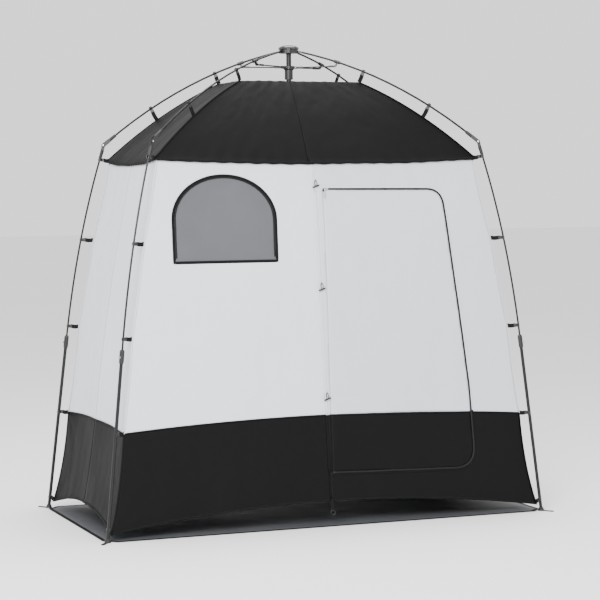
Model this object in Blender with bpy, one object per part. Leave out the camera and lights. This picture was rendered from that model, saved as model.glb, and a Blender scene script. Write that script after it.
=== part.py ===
"""Two-room pop-up shower tent: an umbrella-type outside frame with four ribs and four telescoping legs,
and a fabric body that hangs inside it. Metres, +Z up, origin on the ground under the hub."""

import math

import bmesh
import bpy
from mathutils import Matrix, Vector

# Overall size. R is the distance from the middle line, measured along the corner diagonals.
CORNER_ANGLE = math.radians(26.2)
GAP = 0.0005

# Pivots, as (R, height)
RIB_PIVOT = (0.042, 2.272)
ELBOW_PIVOT = (0.930, 1.820)
RUNNER_PIVOT = (0.034, 2.193)
BRACKET_PIVOT = (0.230, 2.197)
STRUT_SIDE_STEP = 0.0135
STRUT_EYE_RADIUS = 0.0045
STRUT_HALF_WIDTH = 0.004
STRUT_BAR_RADIUS = 0.0032
LUG_SIDES = (-0.003, 0.0085)

# Ribs and legs
RIB_CONTROL = (0.507, 2.169)
RIB_END = (0.912, 1.8345)
RIB_RADIUS = 0.0048
RIB_BLADE = 0.005
POLE_START = (0.9395, 1.783)
COLLAR_TOP = (1.130, 0.865)
FOOT = (1.2335, 0.004)
PEG_LOOP_ANGLE = math.radians(26.3)
PEG_LOOP_REACH = 0.059
PEG_LOOP_RADIUS = 0.009
PEG_HOLE_RADIUS = 0.0045
PEG_LOOP_HEIGHTS = (0.0002, 0.0034)
POLE_BEND_AT = 0.5
POLE_RADIUS = 0.0046
POLE_TAIL = 0.12
LEG_RADIUS = 0.008
LEG_BORE = 0.0062
COLLAR_RADIUS = 0.0115
COLLAR_LENGTH = 0.058
TUBE_TOP = 0.0125
TUBE_BOTTOM = 0.0135
FOOT_PAD = ((0.0, 0.016), (0.007, 0.0145))
FOOT_PLUG = ((0.036, LEG_BORE - GAP), (0.0125, LEG_BORE - GAP), (0.012, 0.0115), (0.002, 0.0125))

# Rib clamp and elbow
BRACKET_HALF_LENGTH = 0.016
BRACKET_WALL = 0.0028
BRACKET_LUG_RADIUS = 0.0048
CHEEK_SIDES = (0.0054, 0.0092)
CHEEK_RADIUS = 0.0088
TONGUE_RADIUS = 0.0078
TONGUE_HALF_WIDTH = 0.0038

# Lock button, measured outwards from the leg's middle line, this far below the collar's top
BUTTON_DROP = 0.030
BUTTON_OUT = (0.9929, 0.119)
BUTTON_RINGS = ((0.0112, 0.0055), (0.0145, 0.0055), (0.0158, 0.0042))
BUTTON_WELL = (0.0094, 0.030)
BUTTON_WELL_RADIUS = 0.0062

# Hub, mast and runner
HUB_RADIUS = 0.052
HUB_BODY_RADIUS = 0.047
HUB_BODY = (2.262, 2.2805)
HUB_RIM_HEIGHT = 0.005
HUB_DOME_HEIGHT = 0.0175
HUB_SLOT = (0.030, 0.080)
HUB_SLOT_HALF_WIDTH = 0.0031
MAST_RADIUS = 0.0125
MAST_BOTTOM = 1.80
MAST_CAP_RADIUS = 0.0155
MAST_CAP_DEPTHS = (0.022, 0.015)
RUNNER_RADIUS = 0.0205
RUNNER_BORE = 0.0131
RUNNER = (2.134, 2.200)
RUNNER_FLANGE = (0.0265, 2.184)
RUNNER_LUG_RADIUS = 0.0058

# Fabric. Each pair is a height and the R of the fabric's corner at that height.
CORNER_LINE = (
    (0.030, 1.212),
    (0.485, 1.128),
    (0.920, 1.066),
    (1.360, 0.989),
    (1.540, 0.944),
    (1.660, 0.916),
    (1.748, 0.902),
)
ROOF_LINE = ((1.748, 0.902), (1.940, 0.661), (2.115, 0.348))
CLOTH = 0.003
CORNER_HEM = 0.030
FRONT_HEM_RISE = 0.085
SIDE_HEM_RISE = 0.070
BAND = 0.485
BAND_RISE = 0.038
EAVE = 1.747
EAVE_SAG = 0.020
DOOR_LEFT = 0.012
DOOR_SWING_LINE = ((-0.518, 0.245), (-0.412, 1.590))
DOOR_TAPE = (-0.014, 0.010)
DOOR_TAPE_THICKNESS = 0.0015
DOOR_TAPE_GAP = 0.0025
DOOR_OUTLINE = (
    (DOOR_LEFT, 0.250, 0.0),
    (0.765, 0.232, 0.115),
    (0.742, 0.640, 0.0),
    (0.632, 1.590, 0.080),
    (DOOR_LEFT, 1.594, 0.0),
)
WINDOW_MIDDLE = -0.488
WINDOW_HALF_WIDTH = 0.254
WINDOW_SILL = 1.258
WINDOW_SHOULDER = 1.455
WINDOW_TOP = 1.660
GROUND_SHEET = (1.120, 0.560, 0.055)
ROOF_HOLE_RADIUS = 0.045
ROOF_LIFT = 0.0012
PATCH_NECK = 0.036
PATCH_FLANGE = 0.058
PATCH_BORE = 0.0225
WALL_INSET_LONG = 0.001
WALL_INSET_SHORT = 0.007

QUARTERS = {"front_left": (-1, -1), "front_right": (1, -1), "rear_left": (-1, 1), "rear_right": (1, 1)}

COLOURS = {
    "black_plastic": ((0.012, 0.012, 0.013), 0.45, 0.0),
    "black_steel": ((0.016, 0.016, 0.018), 0.35, 0.6),
    "black_fibreglass": ((0.013, 0.013, 0.014), 0.38, 0.0),
    "grey_plastic": ((0.18, 0.18, 0.19), 0.4, 0.0),
    "white_cloth": ((0.62, 0.64, 0.68), 0.75, 0.0),
    "black_cloth": ((0.013, 0.013, 0.014), 0.7, 0.0),
    "mesh_cloth": ((0.20, 0.20, 0.21), 0.8, 0.0),
    "ground_cloth": ((0.07, 0.07, 0.072), 0.7, 0.0),
}


def clear_scene():
    for thing in list(bpy.data.objects):
        bpy.data.objects.remove(thing, do_unlink=True)


def material(name):
    found = bpy.data.materials.get(name)
    if found:
        return found
    colour, roughness, metallic = COLOURS[name]
    made = bpy.data.materials.new(name)
    made.use_nodes = True
    shader = made.node_tree.nodes["Principled BSDF"]
    shader.inputs["Base Color"].default_value = (*colour, 1.0)
    shader.inputs["Roughness"].default_value = roughness
    shader.inputs["Metallic"].default_value = metallic
    return made


def add_object(name, bm, finish, origin=(0, 0, 0), turn=0.0, smooth=False):
    """Turns a bmesh drawn in place into an object whose origin is on its joint, then turns it about Z."""
    bmesh.ops.translate(bm, verts=bm.verts, vec=-Vector(origin))
    bmesh.ops.recalc_face_normals(bm, faces=bm.faces)
    mesh = bpy.data.meshes.new(name)
    bm.to_mesh(mesh)
    bm.free()
    mesh.materials.append(material(finish))
    if smooth:
        mesh.shade_smooth()
        mesh.set_sharp_from_angle(angle=math.radians(40))
    made = bpy.data.objects.new(name, mesh)
    bpy.context.scene.collection.objects.link(made)
    made.matrix_world = Matrix.Rotation(turn, 4, "Z") @ Matrix.Translation(Vector(origin))
    return made


def in_plane(pair, side=0.0):
    """A point of the corner diagonal's upright plane, with an optional step sideways."""
    return Vector((pair[0], side, pair[1]))


def curve_point(start, control, end, share):
    """A point on the quadratic curve from start to end that leans towards control."""
    a, b, c = Vector(start), Vector(control), Vector(end)
    return a * (1 - share) ** 2 + b * 2 * share * (1 - share) + c * share**2


def add_ring(bm, centre, along, radius, sides):
    along = along.normalized()
    across = Vector((0, 1, 0)) if abs(along.y) < 0.9 else Vector((1, 0, 0))
    up = along.cross(across).normalized()
    across = up.cross(along)
    ring = []
    for k in range(sides):
        angle = 2 * math.pi * k / sides
        ring.append(bm.verts.new(centre + (across * math.cos(angle) + up * math.sin(angle)) * radius))
    return ring


def join_rings(bm, first, second):
    count = len(first)
    for k in range(count):
        bm.faces.new((first[k], first[(k + 1) % count], second[(k + 1) % count], second[k]))


def add_tube(bm, points, radii, sides=12):
    """A round solid through the points, with a radius at each, closed at both ends."""
    rings = []
    for k, point in enumerate(points):
        before = points[max(k - 1, 0)]
        after = points[min(k + 1, len(points) - 1)]
        along = after - before
        if along.length < 1e-9:
            along = points[-1] - points[0]
        rings.append(add_ring(bm, point, along, radii[k], sides))
    for k in range(len(rings) - 1):
        join_rings(bm, rings[k], rings[k + 1])
    bm.faces.new(rings[0])
    bm.faces.new(rings[-1])


def add_pipe(bm, points, outer, inner, sides=16):
    """A tube wall along straight points, open at both ends."""
    along = points[-1] - points[0]
    walls = [[add_ring(bm, p, along, r, sides) for p, r in zip(points, radii)] for radii in (outer, inner)]
    for rings in walls:
        for k in range(len(rings) - 1):
            join_rings(bm, rings[k], rings[k + 1])
    join_rings(bm, walls[0][0], walls[1][0])
    join_rings(bm, walls[0][-1], walls[1][-1])


def add_plate(bm, outline, side_low, side_high):
    """A flat plate of the diagonal plane, from (R, height) corners, between two steps sideways."""
    low = [bm.verts.new(in_plane(p, side_low)) for p in outline]
    high = [bm.verts.new(in_plane(p, side_high)) for p in outline]
    join_rings(bm, low, high)
    bm.faces.new(low)
    bm.faces.new(high)


def link_outline(start, end, radius, sides=7):
    """A bar with round ends between two points of the plane."""
    lean = math.atan2(end[1] - start[1], end[0] - start[0])
    outline = []
    for middle, turn in ((end, lean - math.pi / 2), (start, lean + math.pi / 2)):
        for k in range(sides):
            angle = turn + math.pi * k / (sides - 1)
            outline.append((middle[0] + radius * math.cos(angle), middle[1] + radius * math.sin(angle)))
    return outline


def mark_as_cutter(cutter):
    cutter.hide_render = True
    cutter.display_type = "WIRE"


def combine(target, other, operation):
    """Joins or cuts with another object, which stays in the file as a hidden guide."""
    mark_as_cutter(other)
    boolean = target.modifiers.new(operation.title() + " " + other.name, "BOOLEAN")
    boolean.operation = operation
    boolean.solver = "EXACT"
    boolean.object = other


def along_leg(distance):
    """A point on the lower leg's middle line, that far below its top."""
    top, bottom = Vector(COLLAR_TOP), Vector(FOOT)
    return top + (bottom - top).normalized() * distance


def turned(name, rings, finish, sides=24, bore=0.0):
    """A turned piece on the middle line, from (radius, height) rings, with an optional bore."""
    bm = bmesh.new()
    up = Vector((0, 0, 1))
    outer = [add_ring(bm, Vector((0, 0, z)), up, r, sides) for r, z in rings]
    for k in range(len(outer) - 1):
        join_rings(bm, outer[k], outer[k + 1])
    if bore:
        inner = [add_ring(bm, Vector((0, 0, z)), up, bore, sides) for z in (rings[0][1], rings[-1][1])]
        join_rings(bm, inner[0], inner[1])
        join_rings(bm, outer[0], inner[0])
        join_rings(bm, outer[-1], inner[1])
    else:
        bm.faces.new(outer[0])
        bm.faces.new(outer[-1])
    return add_object(name, bm, finish, smooth=True)


def make_hub(turns):
    dome = []
    for k in range(6):
        angle = math.radians(15 * k)
        height = HUB_BODY[1] + HUB_RIM_HEIGHT + HUB_DOME_HEIGHT * math.sin(angle)
        dome.append((HUB_RADIUS * math.cos(angle), height))
    turned("hub_cap", [(HUB_RADIUS, HUB_BODY[1] + GAP)] + dome, "black_plastic")
    hub = turned("hub_body", [(HUB_BODY_RADIUS, HUB_BODY[0]), (HUB_BODY_RADIUS, HUB_BODY[1])], "black_plastic")
    slots = bmesh.new()
    below, above = HUB_BODY[0] - 0.01, HUB_BODY[1] + 0.01
    slot = ((HUB_SLOT[0], below), (HUB_SLOT[1], below), (HUB_SLOT[1], above), (HUB_SLOT[0], above))
    add_plate(slots, slot, -HUB_SLOT_HALF_WIDTH, HUB_SLOT_HALF_WIDTH)
    first = add_object("hub_slot_cutter", slots, "black_plastic", turn=turns[0])
    combine(hub, first, "DIFFERENCE")
    for number, turn in enumerate(turns[1:], 2):
        copy = bpy.data.objects.new(f"hub_slot_cutter_{number}", first.data)
        bpy.context.scene.collection.objects.link(copy)
        copy.matrix_world = Matrix.Rotation(turn, 4, "Z")
        combine(hub, copy, "DIFFERENCE")
    mast = [(MAST_RADIUS, MAST_BOTTOM), (MAST_RADIUS, HUB_BODY[0] - GAP)]
    turned("mast", mast, "black_steel")
    low, shoulder = (MAST_BOTTOM - depth for depth in MAST_CAP_DEPTHS)
    cap = [(MAST_CAP_RADIUS * 0.65, low), (MAST_CAP_RADIUS, shoulder), (MAST_CAP_RADIUS, MAST_BOTTOM - GAP)]
    turned("mast_cap", cap, "black_plastic")


def make_runner(turns):
    """The slide on the mast, with a lug for each strut."""
    wide, shoulder = RUNNER_FLANGE
    rings = [(RUNNER_RADIUS, RUNNER[0]), (RUNNER_RADIUS, shoulder - 0.004), RUNNER_FLANGE, (wide, RUNNER[1])]
    runner = turned("runner", rings, "black_plastic", bore=RUNNER_BORE)
    for number, turn in enumerate(turns, 1):
        lug = bmesh.new()
        start = (0.0225, RUNNER_PIVOT[1])
        add_plate(lug, link_outline(start, RUNNER_PIVOT, RUNNER_LUG_RADIUS), *LUG_SIDES)
        combine(runner, add_object(f"runner_lug_{number}", lug, "black_plastic", turn=turn), "UNION")


def make_rib(quarter, turn):
    shares = [k / 12 for k in range(13)]
    line = [in_plane(curve_point(RIB_PIVOT, RIB_CONTROL, RIB_END, s)) for s in shares]
    start = in_plane(curve_point(RIB_PIVOT, RIB_CONTROL, RIB_END, 0.027))
    bm = bmesh.new()
    add_tube(bm, [start] + line[1:], [RIB_RADIUS] * 13)
    rib = add_object(f"rib_{quarter}", bm, "black_fibreglass", in_plane(RIB_PIVOT), turn, smooth=True)
    blade = bmesh.new()
    reach = (start.x + 0.008, start.z - 0.0022)
    add_plate(blade, link_outline(RIB_PIVOT, reach, 0.0042), -RIB_BLADE / 2, RIB_BLADE / 2)
    blade = add_object(f"rib_blade_{quarter}", blade, "black_fibreglass", in_plane(RIB_PIVOT), turn)
    combine(rib, blade, "UNION")


def make_bracket(quarter, turn):
    """The clamp on the rib that carries the strut's pin: a block around the rib with a lug below it."""
    middle = curve_point(RIB_PIVOT, RIB_CONTROL, RIB_END, 0.215)
    ahead = curve_point(RIB_PIVOT, RIB_CONTROL, RIB_END, 0.225)
    along = in_plane(ahead - middle).normalized()
    ends = [in_plane(middle) - along * BRACKET_HALF_LENGTH, in_plane(middle) + along * BRACKET_HALF_LENGTH]
    bm = bmesh.new()
    inner = RIB_RADIUS + GAP
    add_pipe(bm, ends, [inner + BRACKET_WALL] * 2, [inner] * 2, 12)
    bracket = add_object(f"rib_bracket_{quarter}", bm, "black_plastic", in_plane(RIB_PIVOT), turn, smooth=True)
    lug = bmesh.new()
    under = (middle[0] - 0.0035, middle[1] - 0.0113)
    add_plate(lug, link_outline(under, BRACKET_PIVOT, BRACKET_LUG_RADIUS), *LUG_SIDES)
    combine(bracket, add_object(f"bracket_lug_{quarter}", lug, "black_plastic", in_plane(RIB_PIVOT), turn), "UNION")


def make_strut(quarter, turn):
    """A round bar between two flat eyes, beside the lugs that it is pinned to."""
    bm = bmesh.new()
    start, end = Vector(RUNNER_PIVOT), Vector(BRACKET_PIVOT)
    low, high = STRUT_SIDE_STEP - STRUT_HALF_WIDTH, STRUT_SIDE_STEP + STRUT_HALF_WIDTH
    add_plate(bm, link_outline(RUNNER_PIVOT, start.lerp(end, 0.17), STRUT_EYE_RADIUS), low, high)
    strut = add_object(f"strut_{quarter}", bm, "black_steel", in_plane(RUNNER_PIVOT), turn)
    pieces = bmesh.new()
    points = [in_plane(start.lerp(end, s), STRUT_SIDE_STEP) for s in (0.12, 0.88)]
    add_tube(pieces, points, [STRUT_BAR_RADIUS] * 2, 10)
    combine(strut, add_object(f"strut_bar_{quarter}", pieces, "black_steel", in_plane(RUNNER_PIVOT), turn), "UNION")
    eye = bmesh.new()
    add_plate(eye, link_outline(start.lerp(end, 0.83), BRACKET_PIVOT, STRUT_EYE_RADIUS), low, high)
    combine(strut, add_object(f"strut_eye_{quarter}", eye, "black_steel", in_plane(RUNNER_PIVOT), turn), "UNION")


def make_elbow(quarter, turn):
    """The knuckle: a forked fitting on the rib's end and a tongue fitting on the leg's top."""
    rib_end = Vector(RIB_END)
    back = (curve_point(RIB_PIVOT, RIB_CONTROL, RIB_END, 0.92) - rib_end).normalized()
    bm = bmesh.new()
    sleeve = [in_plane(rib_end + back * d) for d in (0.055, 0.004)]
    add_pipe(bm, sleeve, [0.0078, 0.0092], [RIB_RADIUS + GAP] * 2, 14)
    fork = add_object(f"elbow_fork_{quarter}", bm, "black_plastic", in_plane(RIB_PIVOT), turn, smooth=True)
    near, far = CHEEK_SIDES
    for side, (low, high) in (("a", (-far, -near)), ("b", (near, far))):
        cheek = bmesh.new()
        seat = rib_end + back * 0.012
        add_plate(cheek, link_outline(seat, ELBOW_PIVOT, CHEEK_RADIUS), low, high)
        cheek = add_object(f"elbow_cheek_{side}_{quarter}", cheek, "black_plastic", in_plane(RIB_PIVOT), turn)
        combine(fork, cheek, "UNION")
    bm = bmesh.new()
    pole = Vector(POLE_START)
    down = (curve_point(POLE_START, pole_control(), COLLAR_TOP, 0.03) - pole).normalized()
    socket = [in_plane(pole - down * 0.014), in_plane(pole + down * 0.030)]
    add_tube(bm, socket, [CHEEK_RADIUS, TONGUE_RADIUS], 14)
    tongue = add_object(f"elbow_tongue_{quarter}", bm, "black_plastic", in_plane(ELBOW_PIVOT), turn, smooth=True)
    plate = bmesh.new()
    outline = link_outline(ELBOW_PIVOT, pole - down * 0.006, TONGUE_RADIUS)
    add_plate(plate, outline, -TONGUE_HALF_WIDTH, TONGUE_HALF_WIDTH)
    plate = add_object(f"elbow_plate_{quarter}", plate, "black_plastic", in_plane(ELBOW_PIVOT), turn)
    combine(tongue, plate, "UNION")
    bore = bmesh.new()
    line = [in_plane(pole - down * 0.0005), in_plane(pole + down * 0.06)]
    add_tube(bore, line, [POLE_RADIUS + 0.0008] * 2, 12)
    bore = add_object(f"elbow_bore_{quarter}", bore, "black_plastic", in_plane(ELBOW_PIVOT), turn)
    combine(tongue, bore, "DIFFERENCE")


def pole_control():
    """The point that the bowed pole leans towards, straight above the lower leg."""
    top = Vector(COLLAR_TOP)
    return top - (Vector(FOOT) - top).normalized() * POLE_BEND_AT


def make_pole(quarter, turn):
    line = [in_plane(curve_point(POLE_START, pole_control(), COLLAR_TOP, k / 14)) for k in range(15)]
    line.append(in_plane(along_leg(POLE_TAIL)))
    bm = bmesh.new()
    add_tube(bm, line, [POLE_RADIUS] * len(line))
    add_object(f"upper_pole_{quarter}", bm, "black_fibreglass", in_plane(ELBOW_PIVOT), turn, smooth=True)


def make_lower_leg(quarter, turn):
    """The outer tube of the telescoping leg and its collar with a push button."""
    origin = in_plane(COLLAR_TOP)
    length = (Vector(FOOT) - Vector(COLLAR_TOP)).length
    bm = bmesh.new()
    ends = [in_plane(along_leg(d)) for d in (TUBE_TOP, length - TUBE_BOTTOM)]
    add_pipe(bm, ends, [LEG_RADIUS] * 2, [LEG_BORE] * 2, 14)
    add_object(f"lower_leg_{quarter}", bm, "black_steel", origin, turn, smooth=True)

    bm = bmesh.new()
    stop = TUBE_TOP - 2 * GAP
    points = [in_plane(along_leg(d)) for d in (-0.006, 0.002, stop, stop + 0.0003, 0.050, COLLAR_LENGTH)]
    outer = [0.0082, COLLAR_RADIUS, COLLAR_RADIUS, COLLAR_RADIUS, COLLAR_RADIUS, 0.0095]
    inner = [LEG_BORE, LEG_BORE, LEG_BORE, LEG_RADIUS + GAP, LEG_RADIUS + GAP, LEG_RADIUS + GAP]
    add_pipe(bm, points, outer, inner, 14)
    collar = add_object(f"leg_collar_{quarter}", bm, "black_plastic", origin, turn, smooth=True)
    well = bmesh.new()
    middle = along_leg(BUTTON_DROP)
    out = Vector(BUTTON_OUT)
    add_tube(well, [in_plane(middle + out * d) for d in BUTTON_WELL], [BUTTON_WELL_RADIUS] * 2, 12)
    combine(collar, add_object(f"button_well_{quarter}", well, "black_plastic", origin, turn), "DIFFERENCE")
    bm = bmesh.new()
    add_tube(bm, [in_plane(middle + out * d) for d, _ in BUTTON_RINGS], [r for _, r in BUTTON_RINGS], 12)
    add_object(f"lock_button_{quarter}", bm, "grey_plastic", origin, turn, smooth=True)


def make_foot(quarter, turn, hand):
    """The plug in the leg's end, with a round pad and a loop for a peg that points out at the tent's corner."""
    origin = in_plane(COLLAR_TOP)
    length = (Vector(FOOT) - Vector(COLLAR_TOP)).length
    bm = bmesh.new()
    add_tube(bm, [in_plane(along_leg(length - d)) for d, _ in FOOT_PLUG], [r for _, r in FOOT_PLUG], 14)
    foot = add_object(f"foot_{quarter}", bm, "black_plastic", origin, turn, smooth=True)
    pad = bmesh.new()
    up = Vector((0, 0, 1))
    rings = [add_ring(pad, Vector((FOOT[0], 0, z)), up, r, 16) for z, r in FOOT_PAD]
    join_rings(pad, rings[0], rings[1])
    pad.faces.new(rings[0])
    pad.faces.new(rings[1])
    combine(foot, add_object(f"foot_pad_{quarter}", pad, "black_plastic", origin, turn), "UNION")
    angle = PEG_LOOP_ANGLE * hand
    tip = (FOOT[0] + PEG_LOOP_REACH * math.cos(angle), PEG_LOOP_REACH * math.sin(angle))
    loop = bmesh.new()
    outline = link_outline((FOOT[0], 0.0), tip, PEG_LOOP_RADIUS)
    low, high = ([loop.verts.new((x, y, z)) for x, y in outline] for z in PEG_LOOP_HEIGHTS)
    join_rings(loop, low, high)
    loop.faces.new(low)
    loop.faces.new(high)
    combine(foot, add_object(f"peg_loop_{quarter}", loop, "black_plastic", origin, turn), "UNION")
    hole = bmesh.new()
    add_tube(hole, [Vector((*tip, z)) for z in (-0.01, 0.02)], [PEG_HOLE_RADIUS] * 2, 12)
    combine(foot, add_object(f"peg_hole_{quarter}", hole, "black_plastic", origin, turn), "DIFFERENCE")


def corner_radius(height, line=CORNER_LINE):
    """R of the fabric's corner at a height, read along its corner line."""
    for (z0, r0), (z1, r1) in zip(line, line[1:]):
        if height <= z1:
            return r0 + (r1 - r0) * (height - z0) / (z1 - z0)
    return line[-1][1]


def arch(share, ends, rise):
    """A height that is ends at share -1 and 1, and rise higher in the middle."""
    return ends + rise * (1 - share * share)


def panel(name, facing, low, high, finish, rows=6, columns=12):
    """One wall panel between two height functions of the share across it. facing is front, rear, left or right."""
    long_side = facing in ("front", "rear")
    cos, sin = math.cos(CORNER_ANGLE), math.sin(CORNER_ANGLE)
    inset = WALL_INSET_LONG if long_side else WALL_INSET_SHORT
    sign = -1 if facing in ("front", "left") else 1
    bm = bmesh.new()
    layers = []
    for depth in (0.0, CLOTH):
        grid = []
        for row in range(rows + 1):
            line = []
            for column in range(columns + 1):
                share = -1 + 2 * column / columns
                z = low(share) + (high(share) - low(share)) * row / rows
                radius = corner_radius(z)
                across = radius * (cos if long_side else sin) - inset
                out = radius * (sin if long_side else cos) - depth
                point = (share * across, sign * out, z) if long_side else (sign * out, share * across, z)
                line.append(bm.verts.new(point))
            grid.append(line)
        layers.append(grid)
    for grid in layers:
        for lower, upper in zip(grid, grid[1:]):
            for k in range(columns):
                bm.faces.new((lower[k], lower[k + 1], upper[k + 1], upper[k]))
    rims = []
    for grid in layers:
        left = [line[0] for line in grid[1:-1]]
        right = [line[-1] for line in grid[1:-1]]
        rims.append(grid[0] + right + grid[-1][::-1] + left[::-1])
    join_rings(bm, rims[0], rims[1])
    return add_object(name, bm, finish)


def rounded_outline(corners, grow=0.0):
    """Outline points of a polygon whose corners carry a radius, moved outwards by grow."""
    count = len(corners)
    moved = []
    for k in range(count):
        before, here, after = (Vector(corners[(k + d) % count][:2]) for d in (-1, 0, 1))
        first, second = (here - before).normalized(), (after - here).normalized()
        normals = Vector((first.y, -first.x)), Vector((second.y, -second.x))
        corner = normals[0] + normals[1]
        moved.append((here + corner * (grow / (1 + normals[0].dot(normals[1]))), corners[k][2]))
    points = []
    for k in range(count):
        (before, _), (here, radius), (after, _) = (moved[(k + d) % count] for d in (-1, 0, 1))
        if radius == 0:
            points.append(here)
            continue
        cut = radius + grow
        start = here + (before - here).normalized() * cut
        end = here + (after - here).normalized() * cut
        points += [curve_point(start, here, end, s / 6) for s in range(7)]
    return points


def window_outline(grow=0.0):
    points = [(WINDOW_MIDDLE - WINDOW_HALF_WIDTH - grow, WINDOW_SILL - grow)]
    for k in range(17):
        angle = math.pi * (16 - k) / 16
        x = WINDOW_MIDDLE + (WINDOW_HALF_WIDTH + grow) * -math.cos(math.pi - angle)
        z = WINDOW_SHOULDER + (WINDOW_TOP - WINDOW_SHOULDER + grow) * math.sin(angle)
        points.append((x, z))
    points.append((WINDOW_MIDDLE + WINDOW_HALF_WIDTH + grow, WINDOW_SILL - grow))
    return points


def prism(name, outline):
    """An upright outline pushed through the front wall, for cutting."""
    bm = bmesh.new()
    near = [bm.verts.new((x, -0.70, z)) for x, z in outline]
    far = [bm.verts.new((x, -0.25, z)) for x, z in outline]
    join_rings(bm, near, far)
    bm.faces.new(near)
    bm.faces.new(far)
    made = add_object(name, bm, "black_cloth")
    mark_as_cutter(made)
    return made


def band_line(facing):
    rise = BAND_RISE if facing == "front" else BAND_RISE * 0.4
    return lambda share: arch(share, BAND, rise)


def hem_line(facing):
    rise = FRONT_HEM_RISE if facing in ("front", "rear") else SIDE_HEM_RISE
    return lambda share: arch(share, CORNER_HEM, rise)


def eave_line(share):
    return arch(share, EAVE, -EAVE_SAG)


def make_walls():
    door_hole = prism("door_hole", rounded_outline(DOOR_OUTLINE, 0.001))
    window_hole = prism("window_hole", window_outline(0.001))
    for facing in ("front", "rear", "left", "right"):
        seam, hem = band_line(facing), hem_line(facing)
        wall = panel(f"{facing}_wall", facing, lambda s: seam(s) + GAP, eave_line, "white_cloth")
        skirt = panel(f"{facing}_skirt", facing, hem, lambda s: seam(s) - GAP, "black_cloth", rows=3)
        if facing == "front":
            combine(wall, door_hole, "DIFFERENCE")
            combine(wall, window_hole, "DIFFERENCE")
            combine(skirt, door_hole, "DIFFERENCE")
    door = panel("door_panel", "front", hem_line("front"), eave_line, "white_cloth", rows=9)
    combine(door, prism("door_shape", rounded_outline(DOOR_OUTLINE)), "INTERSECT")
    foot_y, foot_z = DOOR_SWING_LINE[0]
    hinge = Vector((DOOR_LEFT, foot_y, foot_z))
    door.data.transform(Matrix.Translation(-hinge))
    door.location = hinge
    window = panel("window_mesh", "front", hem_line("front"), eave_line, "mesh_cloth", rows=9)
    combine(window, prism("window_shape", window_outline()), "INTERSECT")


def make_door_tape():
    """The webbing down the tent's middle that the door is sewn to. It lies just outside the front wall."""
    heights = [DOOR_SWING_LINE[0][1] + 0.010]
    heights += [z for z, _ in CORNER_LINE if heights[0] < z < DOOR_SWING_LINE[1][1]]
    heights.append(DOOR_SWING_LINE[1][1] - 0.010)
    bm = bmesh.new()
    rings = []
    for z in heights:
        back = -corner_radius(z) * math.sin(CORNER_ANGLE) - DOOR_TAPE_GAP
        front = back - DOOR_TAPE_THICKNESS
        outline = [(x, y) for x, y in zip((*DOOR_TAPE, *DOOR_TAPE[::-1]), (back, back, front, front))]
        rings.append([bm.verts.new((x, y, z)) for x, y in outline])
    for lower, upper in zip(rings, rings[1:]):
        join_rings(bm, lower, upper)
    bm.faces.new(rings[0])
    bm.faces.new(rings[-1])
    add_object("door_tape", bm, "white_cloth")


def make_roof():
    """The roof cover: a flat top with a hole for the mast, and four slopes that bulge a little."""
    cos, sin = math.cos(CORNER_ANGLE), math.sin(CORNER_ANGLE)
    bm = bmesh.new()
    columns = 8
    layers = []
    for drop in (0.0, CLOTH):
        rings = []
        for z, radius in ROOF_LINE:
            across, deep = radius * cos, radius * sin
            eave = z == ROOF_LINE[0][0]
            ring = []
            for start, end in (((-1, -1), (1, -1)), ((1, -1), (1, 1)), ((1, 1), (-1, 1)), ((-1, 1), (-1, -1))):
                for k in range(columns):
                    share = k / columns
                    x = (start[0] + (end[0] - start[0]) * share) * across
                    y = (start[1] + (end[1] - start[1]) * share) * deep
                    sag = EAVE_SAG * 4 * share * (1 - share) if eave else 0.0
                    inward = 1 - (drop / radius if eave else 0)
                    fall = sag + drop * (0.35 if eave else 1)
                    ring.append(bm.verts.new((x * inward, y * inward, z + ROOF_LIFT - fall)))
            rings.append(ring)
        middle = []
        for corner in rings[-1]:
            angle = math.atan2(corner.co.y, corner.co.x)
            spot = Vector((ROOF_HOLE_RADIUS * math.cos(angle), ROOF_HOLE_RADIUS * math.sin(angle), corner.co.z))
            middle.append(bm.verts.new(spot))
        rings.append(middle)
        layers.append(rings)
    for rings in layers:
        for k in range(len(rings) - 1):
            join_rings(bm, rings[k], rings[k + 1])
    join_rings(bm, layers[0][0], layers[1][0])
    join_rings(bm, layers[0][-1], layers[1][-1])
    add_object("roof_cover", bm, "black_cloth")
    top = ROOF_LINE[-1][0] + ROOF_LIFT
    lip = [(PATCH_FLANGE, top + GAP), (PATCH_FLANGE, top + 0.003), (PATCH_NECK, top + 0.006)]
    patch = [(PATCH_NECK, top - CLOTH), (PATCH_NECK, top + GAP)] + lip
    turned("roof_patch", patch, "grey_plastic", bore=PATCH_BORE, sides=28)


def make_ground_sheet():
    """The floor mat, with its corners cut back so that the feet stand beside it."""
    half_x, half_y, cut = GROUND_SHEET
    bm = bmesh.new()
    outline = []
    for sx, sy in ((-1, -1), (1, -1), (1, 1), (-1, 1)):
        near = [(sx * (half_x - cut), sy * half_y), (sx * half_x, sy * (half_y - cut))]
        outline += near if sx * sy < 0 else near[::-1]
    low = [bm.verts.new((x, y, 0.0)) for x, y in outline]
    high = [bm.verts.new((x, y, CLOTH)) for x, y in outline]
    join_rings(bm, low, high)
    bm.faces.new(low)
    bm.faces.new(high)
    add_object("ground_sheet", bm, "ground_cloth")


def main():
    clear_scene()
    cos, sin = math.cos(CORNER_ANGLE), math.sin(CORNER_ANGLE)
    turns = {name: math.atan2(sy * sin, sx * cos) for name, (sx, sy) in QUARTERS.items()}
    make_hub(list(turns.values()))
    make_runner(list(turns.values()))
    for quarter, turn in turns.items():
        make_rib(quarter, turn)
        make_bracket(quarter, turn)
        make_strut(quarter, turn)
        make_elbow(quarter, turn)
        make_pole(quarter, turn)
        make_lower_leg(quarter, turn)
        make_foot(quarter, turn, QUARTERS[quarter][0] * QUARTERS[quarter][1])
    make_walls()
    make_door_tape()
    make_roof()
    make_ground_sheet()


main()
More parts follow.
